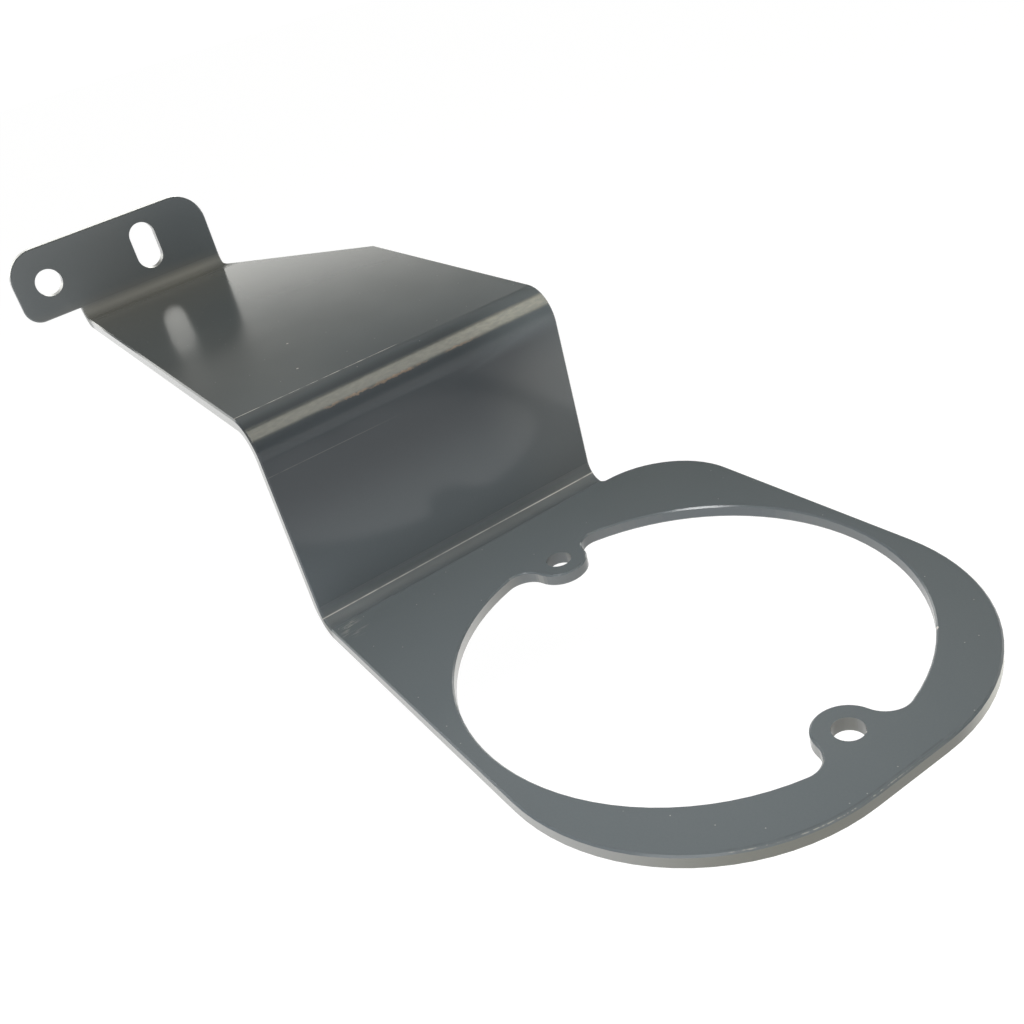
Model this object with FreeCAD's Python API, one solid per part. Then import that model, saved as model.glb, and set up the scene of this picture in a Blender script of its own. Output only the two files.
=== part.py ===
import FreeCAD, Part
import math
import os

os.makedirs("parts", exist_ok=True)

V = FreeCAD.Vector

# Front indicator bracket: one steel sheet, cut to its outline and folded square three times.
# Millimetres. The lamp axis is Z, the ring plate's underside is z = 0, the tab is towards -X.
SHEET = 3.0
EDGE_BREAK = 0.35

# Lamp opening, and the lugs in it that take the lamp's screws
LAMP_OPENING = 96.0
SCREW_INSET = 4.5
SCREW_HOLE = 6.0
LUG_RADIUS = 6.6
LUG_FILLET = 5.0

# Ring plate: the steel left round the opening
RING_SIDE = 3.75
RING_FRONT = 9.0
RING_BACK = 16.0
FRONT_FLAT = 17.1
INSIDE_CORNER = 1.0

# Strip that rises behind the opening as the riser and runs back as the shelf
STRIP_WIDTH = 81.0
RISER_SETBACK = 20.9
RISER_HEIGHT = 52.0
SHELF_LENGTH = 148.0
SHELF_SQUARE_LENGTH = 95.7
SLANT_CORNER = 1.0
SLANT_END_CORNER = 2.0
SLANT_TO_TAB = 1.2

# Radius on the inside of each fold
RISER_FOLD = 4.2
SHELF_FOLD = 5.6
TAB_FOLD = 3.5

# Tab that bolts to the machine: it overhangs the strip's near edge
TAB_OVERHANG = 16.75
TAB_WIDTH = 65.0
TAB_HEIGHT = 25.5
TAB_TOP_CORNER = 9.5
TAB_LOW_CORNER = 5.0
BOLT_WIDTH = 8.4
BOLT_UP = 14.3
BOLT_INSET = 10.7
BOLT_SPACING = 32.8
BOLT_SLOT_LENGTH = 14.8

# Places that follow from the sizes above
opening_r = LAMP_OPENING / 2
ring_half = opening_r + RING_SIDE
ring_front = opening_r + RING_FRONT
ring_back = -opening_r - RING_BACK
strip_near = -ring_half
strip_far = strip_near + STRIP_WIDTH
riser_x = -opening_r - RISER_SETBACK
neck_x = riser_x + RISER_FOLD
shelf_z = SHEET + RISER_HEIGHT
tab_x = riser_x - SHELF_LENGTH
tab_left = strip_near - TAB_OVERHANG
tab_right = tab_left + TAB_WIDTH
tab_low = shelf_z + TAB_FOLD
tab_top = shelf_z + TAB_HEIGHT


def outline(corners):
    """Closed wire through (corner, radius) pairs, with an arc at each corner that has a radius."""
    starts = []
    ends = []
    edges = []
    for index, (corner, radius) in enumerate(corners):
        before = (corners[index - 1][0] - corner).normalize()
        after = (corners[(index + 1) % len(corners)][0] - corner).normalize()
        half = before.getAngle(after) / 2
        starts.append(corner + before * (radius / math.tan(half)))
        ends.append(corner + after * (radius / math.tan(half)))
        if radius:
            middle = corner + (before + after).normalize() * (radius / math.sin(half) - radius)
            edges.append(Part.Arc(starts[-1], middle, ends[-1]).toShape())
    for index, end in enumerate(ends):
        start = starts[(index + 1) % len(corners)]
        if end.distanceToPoint(start) > 0.001:
            edges.append(Part.makeLine(end, start))
    return Part.Wire(Part.__sortEdges__(edges))


def break_rims(plate, is_rim):
    """Breaks the sharp rims between the sheet's faces and its cut edge, where is_rim allows it."""
    rims = []
    for edge in plate.Edges:
        at = edge.valueAt((edge.FirstParameter + edge.LastParameter) / 2)
        faces = plate.ancestorsOfType(edge, Part.Face)
        normals = [face.normalAt(*face.Surface.parameter(at)) for face in faces]
        if normals[0].getAngle(normals[1]) > math.radians(45) and is_rim(at):
            rims.append(edge)
    return plate.makeChamfer(EDGE_BREAK, rims)


# Ring plate, whose round back corner runs into the strip's edge
front_corner = ring_half - FRONT_FLAT / 2
back_corner = ring_half - strip_far - INSIDE_CORNER
ring_outline = outline([
    (V(neck_x, strip_near, 0), 0),
    (V(ring_front, -ring_half, 0), front_corner),
    (V(ring_front, ring_half, 0), front_corner),
    (V(ring_back, ring_half, 0), back_corner),
    (V(ring_back, strip_far, 0), INSIDE_CORNER),
    (V(neck_x, strip_far, 0), 0),
])
ring_plate = Part.Face(ring_outline).extrude(V(0, 0, SHEET))

# Lamp opening: a circle with a round lug standing in at each end of the X axis
lug_x = opening_r - SCREW_INSET
fillet_orbit = opening_r - LUG_FILLET
lug_reach = LUG_RADIUS + LUG_FILLET
fillet_x = (fillet_orbit ** 2 + lug_x ** 2 - lug_reach ** 2) / (2 * lug_x)
fillet_y = math.sqrt(fillet_orbit ** 2 - fillet_x ** 2)


def lug_side(side):
    """Half of the opening: fillet, lug, fillet, then the circle round to the other lug."""
    lug = V(lug_x, 0, 0)
    low = V(fillet_x, -fillet_y, 0)
    low_circle = low * (opening_r / fillet_orbit)
    low_lug = lug + (low - lug) * (LUG_RADIUS / lug_reach)
    low_middle = low + (low_circle + low_lug - low * 2).normalize() * LUG_FILLET
    high_circle, high_middle, high_lug = [
        V(point.x, -point.y, 0) for point in (low_circle, low_middle, low_lug)
    ]
    stretches = [
        (low_circle, low_middle, low_lug),
        (low_lug, V(lug_x - LUG_RADIUS, 0, 0), high_lug),
        (high_lug, high_middle, high_circle),
        (high_circle, V(0, opening_r, 0), low_circle * -1),
    ]
    return [Part.Arc(*[point * side for point in stretch]).toShape() for stretch in stretches]


opening = Part.Face(Part.Wire(lug_side(1) + lug_side(-1)))
ring_plate = ring_plate.cut(opening.extrude(V(0, 0, SHEET))).Solids[0]
ring_plate = break_rims(ring_plate, lambda at: at.x > neck_x + 0.001)
for x in (-lug_x, lug_x):
    ring_plate = ring_plate.cut(Part.makeCylinder(SCREW_HOLE / 2, SHEET, V(x, 0, 0)))

# Strip in side view: up the riser, back along the shelf, up into the tab
side_view = outline([
    (V(neck_x, 0, 0), 0),
    (V(neck_x, 0, SHEET), 0),
    (V(riser_x, 0, SHEET), RISER_FOLD),
    (V(riser_x, 0, shelf_z), SHELF_FOLD + SHEET),
    (V(tab_x, 0, shelf_z), TAB_FOLD),
    (V(tab_x, 0, tab_low), 0),
    (V(tab_x - SHEET, 0, tab_low), 0),
    (V(tab_x - SHEET, 0, shelf_z - SHEET), TAB_FOLD + SHEET),
    (V(riser_x - SHEET, 0, shelf_z - SHEET), SHELF_FOLD),
    (V(riser_x - SHEET, 0, 0), RISER_FOLD + SHEET),
])
strip = Part.Face(side_view).extrude(V(0, 2 * STRIP_WIDTH, 0))
strip.translate(V(0, strip_near - STRIP_WIDTH / 2, 0))

# Strip in plan: the far corner is cut away on a slant, down to the tab's width
slant_x = riser_x - SHELF_SQUARE_LENGTH
slant_end_x = tab_x + SLANT_TO_TAB
plan_view = outline([
    (V(0, strip_near, 0), 0),
    (V(0, strip_far, 0), 0),
    (V(slant_x, strip_far, 0), SLANT_CORNER),
    (V(slant_end_x, tab_right, 0), SLANT_END_CORNER),
    (V(tab_x - 2 * SHEET, tab_right, 0), 0),
    (V(tab_x - 2 * SHEET, strip_near, 0), 0),
])
plan = Part.Face(plan_view).extrude(V(0, 0, 4 * RISER_HEIGHT))
plan.translate(V(0, 0, -RISER_HEIGHT))
strip = strip.common(plan).Solids[0]
strip = break_rims(strip, lambda at: at.x < neck_x - 0.001 and at.z < tab_low - 0.001)

# Tab above the shelf, with its overhang past the strip's near edge
tab_outline = outline([
    (V(tab_x, tab_right, tab_low), 0),
    (V(tab_x, tab_right, tab_top), TAB_TOP_CORNER),
    (V(tab_x, strip_near, tab_top), 0),
    (V(tab_x, strip_near, tab_low), 0),
])
overhang_outline = outline([
    (V(tab_x, strip_near, tab_low), 0),
    (V(tab_x, strip_near, tab_top), 0),
    (V(tab_x, tab_left, tab_top), TAB_TOP_CORNER),
    (V(tab_x, tab_left, tab_low), TAB_LOW_CORNER),
])
back = V(-SHEET, 0, 0)
tab = Part.Face(tab_outline).extrude(back)
tab = break_rims(tab, lambda at: at.y > strip_near + 0.001 and at.z > tab_low + 0.001)
overhang = Part.Face(overhang_outline).extrude(back)
overhang = break_rims(overhang, lambda at: at.y < strip_near - 0.001)

# Upright bolt slot in the tab, round bolt hole in the overhang
bolt_r = BOLT_WIDTH / 2
bolt_z = shelf_z + BOLT_UP
hole_y = tab_left + BOLT_INSET
slot_y = hole_y + BOLT_SPACING
slot_half = (BOLT_SLOT_LENGTH - BOLT_WIDTH) / 2
slot_corner = V(tab_x - SHEET, slot_y - bolt_r, bolt_z - slot_half)
tab = tab.cut(Part.makeBox(SHEET, BOLT_WIDTH, 2 * slot_half, slot_corner))
for z in (bolt_z - slot_half, bolt_z + slot_half):
    tab = tab.cut(Part.makeCylinder(bolt_r, SHEET, V(tab_x, slot_y, z), back))
hole_at = V(tab_x, hole_y, bolt_z)
overhang = overhang.cut(Part.makeCylinder(bolt_r, SHEET, hole_at, back))

# It is all one piece of sheet
bracket = ring_plate.fuse([strip, tab, overhang]).removeSplitter().Solids[0]
bracket.exportStep("parts/indicator_bracket.step")
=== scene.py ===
import math

import bpy
from mathutils import Euler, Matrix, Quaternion, Vector


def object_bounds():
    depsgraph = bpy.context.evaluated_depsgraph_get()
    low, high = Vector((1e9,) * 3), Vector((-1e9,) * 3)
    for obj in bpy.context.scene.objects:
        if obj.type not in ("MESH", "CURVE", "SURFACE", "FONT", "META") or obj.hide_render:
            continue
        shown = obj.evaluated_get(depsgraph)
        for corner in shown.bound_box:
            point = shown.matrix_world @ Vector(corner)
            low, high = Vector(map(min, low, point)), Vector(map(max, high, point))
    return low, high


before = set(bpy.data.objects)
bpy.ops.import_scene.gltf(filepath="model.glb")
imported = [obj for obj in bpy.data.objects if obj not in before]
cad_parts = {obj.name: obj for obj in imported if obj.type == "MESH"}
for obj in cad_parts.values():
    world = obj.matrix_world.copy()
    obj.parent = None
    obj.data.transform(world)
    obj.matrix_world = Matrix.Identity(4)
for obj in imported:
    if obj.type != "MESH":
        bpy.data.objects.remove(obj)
cad_low, cad_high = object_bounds()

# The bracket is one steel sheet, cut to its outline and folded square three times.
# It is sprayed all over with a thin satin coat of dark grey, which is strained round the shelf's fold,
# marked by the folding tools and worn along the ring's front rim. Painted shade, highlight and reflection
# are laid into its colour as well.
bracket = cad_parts["indicator_bracket"]

# The sheet's facets meet as one skin: the folds shade round and the broken rims stay crisp
skin = bracket.modifiers.new("one skin", "WELD")
skin.merge_threshold = 0.00001
rims = bracket.modifiers.new("crisp rims", "EDGE_SPLIT")
rims.split_angle = math.radians(35)
folds = bracket.modifiers.new("round folds", "WEIGHTED_NORMAL")
folds.mode = "FACE_AREA"
folds.weight = 100

# Sizes of the sheet in millimetres; each fold's size is its inside radius
SHEET = 3.0
RISER_FOLD = 4.2
SHELF_FOLD = 5.6
TAB_FOLD = 3.5
RISER_X = -68.9
SHELF_Z = 55.0
FRONT_FLAT = 17.1

# Middles of the folds' arcs and of the arcs that round the ring's front
riser_fold_x = RISER_X + RISER_FOLD
riser_fold_z = SHEET + RISER_FOLD
shelf_fold_x = RISER_X - SHEET - SHELF_FOLD
shelf_fold_z = SHELF_Z - SHEET - SHELF_FOLD
tab_fold_x = cad_low.x * 1000 + SHEET + TAB_FOLD
tab_fold_z = SHELF_Z + TAB_FOLD
ring_end_y = FRONT_FLAT / 2
ring_end_radius = cad_high.y * 1000 - ring_end_y
ring_end_x = cad_high.x * 1000 - ring_end_radius

# Marks of the folding tools, and the painted highlight and glint in the folds: places in millimetres, and
# angles round a fold in degrees
SHELF_LINE_X = -78.35
RISER_LINE_Z = 42.75
FOOT_LINE_AND_GLINT_TURN = 52.5
STRAIN_AND_HIGHLIGHT_TURN = 46
RUBBED_TURN = 34.5

# Nicks in the coat: x, y and radius in millimetres
NICKS = (
    (36.6, 31.1, 0.35),
    (45.9, 1.3, 0.3),
    (-91.2, -29.8, 0.22),
    (-111.3, -23.9, 0.22),
)

# Colours of the coat; some also serve as painted shade, light, highlight and reflection, as marked where
# they are laid on
COAT = (0.082, 0.096, 0.107, 1)
PALE_WORN_AND_LIT_COAT = (0.14, 0.145, 0.145, 1)
SHADE_AND_THICK_COAT = (0.032, 0.037, 0.042, 1)
DUSTY_COAT_AND_SHEEN = (0.15, 0.152, 0.145, 1)
PALE_STRAIN_AND_HIGHLIGHT = (0.2, 0.195, 0.165, 1)
RUBBED = (0.17, 0.125, 0.095, 1)
BARE_STEEL_AND_GLINT = (0.5, 0.49, 0.46, 1)
CUT_EDGE_SHEEN = (0.19, 0.195, 0.19, 1)
WALL_REFLECTION = (0.5, 0.5, 0.5, 1)
FRONT_EDGE = (0.146, 0.148, 0.13, 1)
EDGE_REFLECTION = (0.44, 0.435, 0.365, 1)
WORN_RIM = (0.38, 0.37, 0.33, 1)
DUST = (0.45, 0.45, 0.43, 1)
COAT_IOR = 1.42
SATIN = 0.135
PEEL_HEIGHT = 0.00000015


def calc(operation, *values):
    """One sum in the material that the values belong to; each is a number or an earlier step."""
    tree = next(value for value in values if not isinstance(value, (int, float))).id_data
    node = tree.nodes.new("ShaderNodeMath")
    node.operation = operation
    for socket, value in zip(node.inputs, values):
        if isinstance(value, (int, float)):
            socket.default_value = value
        else:
            tree.links.new(value, socket)
    return node.outputs["Value"]


def sum_of(*values):
    """The values added up."""
    total = values[0]
    for value in values[1:]:
        total = calc("ADD", total, value)
    return total


def all_of(*masks):
    """Where every mask holds; a number among them is the share that is left."""
    product = masks[0]
    for mask in masks[1:]:
        product = calc("MULTIPLY", product, mask)
    return product


def fade(value, start, end, low=0, high=1):
    """low up to start, high from end on, with a soft run between them."""
    tree = value.id_data
    node = tree.nodes.new("ShaderNodeMapRange")
    node.interpolation_type = "SMOOTHSTEP"
    node.inputs["From Min"].default_value = start
    node.inputs["From Max"].default_value = end
    node.inputs["To Min"].default_value = low
    node.inputs["To Max"].default_value = high
    tree.links.new(value, node.inputs["Value"])
    return node.outputs["Result"]


def streak(value, middle, half_width, soft):
    """1 within half_width of the middle, fading out over soft."""
    away = calc("ABSOLUTE", calc("SUBTRACT", value, middle))
    return fade(away, half_width + soft, half_width)


def distance(across, along):
    """Length of the way that goes so far across and so far along."""
    return calc("SQRT", calc("ADD", calc("POWER", across, 2), calc("POWER", along, 2)))


def turn_round(up, across):
    """Angle in degrees round a fold: 0 straight across from its middle, 90 straight up."""
    return calc("DEGREES", calc("ARCTAN2", up, across))


def parts_of(vector):
    """The x, y and z of a place or of a direction."""
    tree = vector.id_data
    node = tree.nodes.new("ShaderNodeSeparateXYZ")
    tree.links.new(vector, node.inputs["Vector"])
    return node.outputs


def paint_over(under, mask, colour, share=1):
    """The colour laid over what is under it where the mask holds, hiding that share of it."""
    tree = mask.id_data
    node = tree.nodes.new("ShaderNodeMix")
    node.data_type = "RGBA"
    tree.links.new(calc("MULTIPLY", mask, share), node.inputs["Factor"])
    if isinstance(under, tuple):
        node.inputs["A"].default_value = under
    else:
        tree.links.new(under, node.inputs["A"])
    node.inputs["B"].default_value = colour
    return node.outputs["Result"]


coat = bpy.data.materials.new("dark grey coat")
coat.use_nodes = True
coat_nodes = coat.node_tree.nodes
coat_links = coat.node_tree.links
coat_shader = coat_nodes["Principled BSDF"]
coat_shader.inputs["IOR"].default_value = COAT_IOR

# Places on the sheet in millimetres, as every mask of the coat takes them, and which way a face looks
sheet_place = coat_nodes.new("ShaderNodeTexCoord")
to_millimetres = coat_nodes.new("ShaderNodeVectorMath")
to_millimetres.operation = "SCALE"
to_millimetres.inputs["Scale"].default_value = 1000
coat_links.new(sheet_place.outputs["Object"], to_millimetres.inputs[0])
place = to_millimetres.outputs["Vector"]
x, y, z = parts_of(place)
sheet_faces = coat_nodes.new("ShaderNodeNewGeometry")
faces_x, faces_y, faces_z = parts_of(sheet_faces.outputs["True Normal"])


def grain(size, along_y=1, detail=2):
    """Uneven cloud from 0 to 1, with lumps of about that size, drawn out so many times along y."""
    stretched = coat_nodes.new("ShaderNodeVectorMath")
    stretched.operation = "DIVIDE"
    coat_links.new(place, stretched.inputs[0])
    stretched.inputs[1].default_value = (size, size * along_y, size)
    node = coat_nodes.new("ShaderNodeTexNoise")
    node.inputs["Scale"].default_value = 1
    node.inputs["Detail"].default_value = detail
    coat_links.new(stretched.outputs["Vector"], node.inputs["Vector"])
    return node.outputs["Fac"]


# The sheet's faces, its cut edges, and the skin of each fold
on_top = fade(faces_z, 0.9, 0.98)
on_front = fade(faces_x, 0.9, 0.98)
ring_side = fade(x, riser_fold_x + 0.1, riser_fold_x + 0.3)
tab_side = fade(z, tab_fold_z + 0.1, tab_fold_z + 0.3)
strip_side = calc("SUBTRACT", calc("SUBTRACT", 1, ring_side), tab_side)
ring_edge = all_of(ring_side, fade(calc("ABSOLUTE", faces_z), 0.3, 0.2))
strip_edge = all_of(strip_side, fade(calc("ABSOLUTE", faces_y), 0.74, 0.8))
tab_edge = all_of(tab_side, fade(calc("ABSOLUTE", faces_x), 0.3, 0.2))
cut_edge = sum_of(ring_edge, strip_edge, tab_edge)
shelf_turn = turn_round(calc("SUBTRACT", z, shelf_fold_z), calc("SUBTRACT", x, shelf_fold_x))
riser_turn = turn_round(calc("SUBTRACT", riser_fold_x, x), calc("SUBTRACT", riser_fold_z, z))
outside_shelf = all_of(
    fade(x, shelf_fold_x - 0.2, shelf_fold_x),
    fade(z, shelf_fold_z - 0.2, shelf_fold_z),
)
inside_riser = all_of(
    streak(riser_turn, 45, 44, 4),
    fade(z, riser_fold_z + 0.8, riser_fold_z + 0.2),
    streak(x, RISER_X + RISER_FOLD / 2, RISER_FOLD / 2 + 0.1, 0.2),
)
inside_tab = all_of(
    fade(x, tab_fold_x + 6, tab_fold_x - 1),
    fade(z, tab_fold_z + 1, tab_fold_z - 1),
)

# Coat of uneven thickness, with faint clouds all over it
clouds = sum_of(all_of(grain(26), 0.12), all_of(grain(0.5), 0.16))
colour = paint_over(COAT, clouds, PALE_WORN_AND_LIT_COAT)

# Painted shade darkens the riser's upper part and the shelf round its fold, fading out towards their far
# end, for the dim room in front of them
riser_painted_shade = all_of(fade(z, 12, 40), fade(x, -79, -73))
shelf_painted_shade = all_of(fade(x, -100, -80), fade(x, -68, -76), fade(z, 48, 54), fade(y, -46, -10), 0.35)
short_of_end = calc("MAXIMUM", fade(y, 28, 0), all_of(fade(z, 49, 44), fade(y, 40, 12)))
colour = paint_over(colour, all_of(calc("MAXIMUM", riser_painted_shade, shelf_painted_shade), short_of_end), SHADE_AND_THICK_COAT, 0.88)

# Painted reflection makes the riser paler low on its far side, painted shade darkens the riser's foot, and
# it is dusty by the tab; the tab's fold is paler too, a painted dull sheen
riser_far_painted_reflection = all_of(streak(z, 20, 16, 14), streak(x, RISER_X, 1, 1), fade(y, 0, 24))
colour = paint_over(colour, riser_far_painted_reflection, PALE_WORN_AND_LIT_COAT, 0.4)
foot_painted_shade = sum_of(0.32, all_of(streak(y, -10, 14, 22), 0.24))
foot_painted_shade = all_of(inside_riser, foot_painted_shade, fade(riser_turn, 94, 66))
colour = paint_over(colour, foot_painted_shade, SHADE_AND_THICK_COAT)
by_tab = all_of(fade(x, -155, -205), fade(y, 4, -16), fade(z, 62, 57), 0.6)
colour = paint_over(colour, sum_of(by_tab, all_of(inside_tab, 0.42)), DUSTY_COAT_AND_SHEEN)
# Painted light makes the shelf's near side paler
shelf_near_painted_light = all_of(fade(y, -10, -40), fade(x, -72, -80), fade(z, 50, 54))
colour = paint_over(colour, shelf_near_painted_light, PALE_WORN_AND_LIT_COAT, 0.3)

# The shelf's fold strained the coat into a mottled pale band, which is also a painted highlight where the
# soft box shows in the fold, brighter towards the far end; it is rubbed brown along a ragged line
strain_and_highlight = all_of(outside_shelf, streak(shelf_turn, STRAIN_AND_HIGHLIGHT_TURN, 9, 6))
mottle = fade(grain(0.6, along_y=3), 0.25, 0.75, 0.1, 0.18)
colour = paint_over(colour, all_of(strain_and_highlight, mottle, fade(y, -6, 22, 1, 3.2)), PALE_STRAIN_AND_HIGHLIGHT)
ragged = all_of(calc("SUBTRACT", grain(1.2, detail=4), 0.5), 9)
rubbed = all_of(
    outside_shelf,
    streak(calc("ADD", shelf_turn, ragged), RUBBED_TURN, 0.8, 1.6),
    fade(grain(6, detail=3), 0.38, 0.55),
    streak(y, -14, 14, 12),
)
colour = paint_over(colour, rubbed, RUBBED, 0.7)

# The folding tools pressed lines into the shelf, the riser and the riser's foot; the foot's line is also a
# painted glint of the fold, stronger towards its ends
broken = fade(grain(3.5, detail=3), 0.3, 0.55)
shelf_line = all_of(streak(x, SHELF_LINE_X, 0.06, 0.12), on_top, fade(z, 50, 54), fade(y, -2, -18), broken)
colour = paint_over(colour, shelf_line, BARE_STEEL_AND_GLINT)
riser_line = all_of(streak(z, RISER_LINE_Z, 0.04, 0.1), on_front, fade(y, -14, -34), broken)
colour = paint_over(colour, riser_line, BARE_STEEL_AND_GLINT, 0.08)
foot_turn = calc("ADD", riser_turn, fade(y, -12, 22, 0, 2.4))
foot_line_and_glint = all_of(inside_riser, streak(foot_turn, FOOT_LINE_AND_GLINT_TURN, 0.9, 1.8))
foot_wear_and_glint = sum_of(0.34, fade(y, -6, 20, 0, 0.3), fade(y, -22, -42, 0, 0.2))
foot_wear_and_glint = all_of(foot_wear_and_glint, sum_of(0.6, all_of(broken, 0.4)))
colour = paint_over(colour, all_of(foot_line_and_glint, foot_wear_and_glint), BARE_STEEL_AND_GLINT)

# Cut edges get a paler coat, a painted sheen; by the way each wall faces, a painted reflection makes them
# pale on the opening's near side and ahead on the far side, painted shade dulls them on the back lug and far
# side, and they are olive round the ring's front
colour = paint_over(colour, cut_edge, CUT_EDGE_SHEEN)
back_wall = all_of(ring_edge, fade(faces_x, 0.2, 0.5), fade(x, 20, 10))
colour = paint_over(colour, all_of(back_wall, fade(y, -10, -38)), WALL_REFLECTION, 0.9)
colour = paint_over(colour, all_of(back_wall, fade(y, -14, -8)), COAT, 0.6)
far_wall = all_of(ring_edge, fade(faces_y, -0.3, -0.7), fade(y, 10, 20))
colour = paint_over(colour, far_wall, COAT, 0.6)
looks_ahead = all_of(ring_edge, fade(faces_x, 0.1, 0.4))
colour = paint_over(colour, all_of(looks_ahead, fade(x, 30, 54), fade(y, 20, 9)), FRONT_EDGE)
colour = paint_over(colour, all_of(looks_ahead, fade(x, 20, 40), fade(y, 10, 26)), EDGE_REFLECTION, 0.9)

# The ring's front rim is worn and knocked, and the coat behind it is thick in places
past_flat = calc("MAXIMUM", calc("SUBTRACT", calc("ABSOLUTE", y), ring_end_y), 0)
from_rim = calc("SUBTRACT", ring_end_radius, distance(calc("SUBTRACT", x, ring_end_x), past_flat))
front_run = all_of(ring_side, fade(x, 40, 48), streak(y, -12, 18, 8))
on_slope = fade(calc("ABSOLUTE", faces_z), 0.85, 0.78)
worn_rim = all_of(front_run, on_slope, streak(z, SHEET - 0.18, 0.1, 0.12))
colour = paint_over(colour, worn_rim, PALE_WORN_AND_LIT_COAT, 0.3)
knocks = all_of(
    worn_rim,
    streak(z, SHEET - 0.07, 0.05, 0.06),
    fade(grain(1.1, detail=3), 0.45, 0.62),
    streak(y, -18, 12, 8),
)
colour = paint_over(colour, knocks, WORN_RIM, 0.5)
thick_coat = all_of(front_run, on_top, streak(from_rim, 0.8, 0.1, 0.15), broken)
colour = paint_over(colour, thick_coat, SHADE_AND_THICK_COAT, 0.25)

# Scuffs on the ring by the riser's near corner, and nicks
scuffs = all_of(
    on_top,
    ring_side,
    streak(x, -61, 1, 5),
    streak(y, -48, 0.5, 4),
    fade(grain(0.35, along_y=9), 0.5, 0.72),
)
colour = paint_over(colour, scuffs, BARE_STEEL_AND_GLINT, 0.3)
for nick_x, nick_y, nick_radius in NICKS:
    from_nick = distance(calc("SUBTRACT", x, nick_x), calc("SUBTRACT", y, nick_y))
    colour = paint_over(colour, fade(from_nick, nick_radius + 0.15, nick_radius), BARE_STEEL_AND_GLINT, 0.7)

# Specks of dust lie on some of the cells of a loose net over the flat faces
dust_net = coat_nodes.new("ShaderNodeTexVoronoi")
dust_net.voronoi_dimensions = "2D"
dust_net.inputs["Scale"].default_value = 0.16
coat_links.new(place, dust_net.inputs["Vector"])
dust_draw = coat_nodes.new("ShaderNodeSeparateColor")
coat_links.new(dust_net.outputs["Color"], dust_draw.inputs["Color"])
specks = all_of(
    on_top,
    fade(dust_net.outputs["Distance"], 0.026, 0.012),
    fade(dust_draw.outputs["Red"], 0.78, 0.84),
)
colour = paint_over(colour, specks, DUST, 0.4)
coat_links.new(colour, coat_shader.inputs["Base Color"])

# Satin gloss, duller inside the folds and on the cut edges
dullness = sum_of(
    SATIN,
    all_of(grain(9), 0.04),
    all_of(inside_riser, 0.43),
    all_of(inside_tab, 0.36),
    all_of(cut_edge, 0.02),
)
coat_links.new(dullness, coat_shader.inputs["Roughness"])

# Fine peel of the sprayed coat
peel = coat_nodes.new("ShaderNodeBump")
peel.inputs["Distance"].default_value = PEEL_HEIGHT
coat_links.new(grain(0.4, detail=1), peel.inputs["Height"])
coat_links.new(peel.outputs["Normal"], coat_shader.inputs["Normal"])

bracket.data.materials.clear()
bracket.data.materials.append(coat)

# The stand is a large light table: a flat sheet of white acrylic that glows from below.
# It lies well under the ring plate and runs out past the edge of the picture, and its glow
# keeps the shadows pale. It glows more on the near side, which lights the sheet's near edges.
TABLE_RADIUS = 3.0
TABLE_SIDES = 64
TABLE_DROP = 0.04
TABLE_WHITE = (0.12, 0.12, 0.12, 1)
TABLE_GLOW = 0.96
NEAR_GLOW = 1.45
NEAR_FROM = -0.055
NEAR_TO = -0.085

table_rim = []
for side in range(TABLE_SIDES):
    turn = 2 * math.pi * side / TABLE_SIDES
    table_rim.append((TABLE_RADIUS * math.cos(turn), TABLE_RADIUS * math.sin(turn), 0))
table_mesh = bpy.data.meshes.new("light table")
table_mesh.from_pydata(table_rim, [], [range(TABLE_SIDES)])
table = bpy.data.objects.new("light_table", table_mesh)
table.location.z = cad_low.z - TABLE_DROP
bpy.context.scene.collection.objects.link(table)

acrylic = bpy.data.materials.new("white acrylic")
acrylic.use_nodes = True
acrylic.cycles.emission_sampling = "NONE"
acrylic_shader = acrylic.node_tree.nodes["Principled BSDF"]
acrylic_shader.inputs["Base Color"].default_value = TABLE_WHITE
acrylic_shader.inputs["Roughness"].default_value = 1
acrylic_shader.inputs["Specular IOR Level"].default_value = 0
acrylic_shader.inputs["Emission Color"].default_value = (1, 1, 1, 1)
table_place = acrylic.node_tree.nodes.new("ShaderNodeTexCoord")
along_table = parts_of(table_place.outputs["Object"])["Y"]
table_glow = fade(along_table, NEAR_FROM, NEAR_TO, TABLE_GLOW, NEAR_GLOW)
acrylic.node_tree.links.new(table_glow, acrylic_shader.inputs["Emission Strength"])
table_mesh.materials.append(acrylic)

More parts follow.
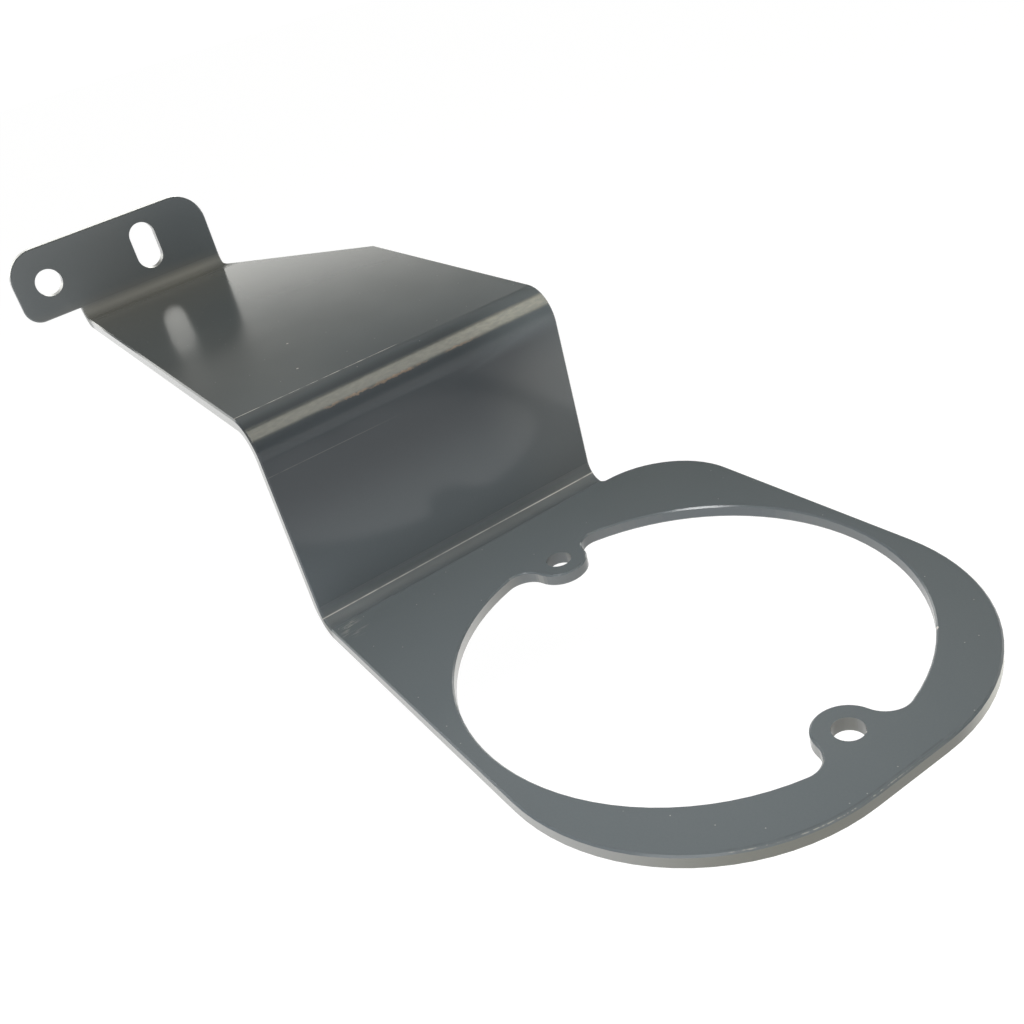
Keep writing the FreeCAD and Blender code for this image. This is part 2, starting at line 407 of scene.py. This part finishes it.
# A soft box over the ring's far side lies along the shelf's fold, a fill box stands in front,
# and a small gridded lamp lifts the ring plate. Each is a square of diffusing cloth on its own stand.
for name, place_at, aim_at, roll, size, power, spread, tint in (
    ("soft box", (0.076, 0.139, 0.426), (-0.062, -0.061, 0.076), 39, 0.265, 0.95, 180, (1, 0.96, 0.8)),
    ("fill box", (0.38, -0.50, 0.30), (-0.07, -0.01, 0.03), 0, 0.4, 1.4, 180, (1, 1, 1)),
    ("ring lamp", (0.05, -0.13, 0.36), (0.012, -0.02, 0), 0, 0.1, 0.088, 44, (1, 1, 1)),
):
    light = bpy.data.lights.new(name, "AREA")
    light.size = size
    light.energy = power
    light.spread = math.radians(spread)
    light.color = tint
    lamp = bpy.data.objects.new(name, light)
    lamp.location = place_at
    aim = (Vector(place_at) - Vector(aim_at)).to_track_quat("Z", "Y")
    lamp.rotation_euler = (aim @ Quaternion((0, 0, 1), math.radians(roll))).to_euler()
    bpy.context.scene.collection.objects.link(lamp)

# The room is a plain studio: white walls round the table's edge, brightest behind the tab,
# dark above them, and a dim ceiling. The shelf's gloss shows where the walls end.
# Heights are sines of the angle above the table.
ROOM_COLOUR = (1, 0.995, 0.95, 1)
BACK_WALL = 3.05
BACK_FROM = -0.2
FRONT_WALL = 0.85
FRONT_FROM = 0.2
WALL_WHITE_TO = math.sin(math.radians(8))
WALL_DARK_FROM = math.sin(math.radians(17.9))
CEILING = 0.24
CEILING_FROM = 0.5
CEILING_FULL = 0.64
DIM = 0.05

room = bpy.data.worlds.new("room")
room.use_nodes = True
room_shader = room.node_tree.nodes["Background"]
room_place = room.node_tree.nodes.new("ShaderNodeTexCoord")
room_way = parts_of(room_place.outputs["Generated"])
wall_glow = fade(room_way["X"], FRONT_FROM, BACK_FROM, FRONT_WALL, BACK_WALL)
wall_glow = all_of(wall_glow, fade(room_way["Z"], WALL_DARK_FROM, WALL_WHITE_TO))
ceiling_glow = fade(room_way["Z"], CEILING_FROM, CEILING_FULL, 0, CEILING)
room_shader.inputs["Color"].default_value = ROOM_COLOUR
room.node_tree.links.new(sum_of(wall_glow, ceiling_glow, DIM), room_shader.inputs["Strength"])
bpy.context.scene.world = room

# The camera looks down on the ring plate from its near front, close up and held a little askew.
# Its lens is a short one, shifted slightly off the middle of the picture.
CAMERA_PLACE = Vector((0.15148, -0.10438, 0.14057))
CAMERA_TURN = Euler([math.radians(angle) for angle in (59.585, 14.278, 57.994)])

lens = bpy.data.cameras.new("camera")
lens.lens = 38.81
lens.sensor_width = 36
lens.shift_x = 0.0355
lens.shift_y = 0.0196
lens.clip_start = 0.005
camera = bpy.data.objects.new("camera", lens)
camera.location = CAMERA_PLACE
camera.rotation_euler = CAMERA_TURN
bpy.context.scene.collection.objects.link(camera)
bpy.context.scene.camera = camera
bpy.context.scene.view_settings.view_transform = "Standard"
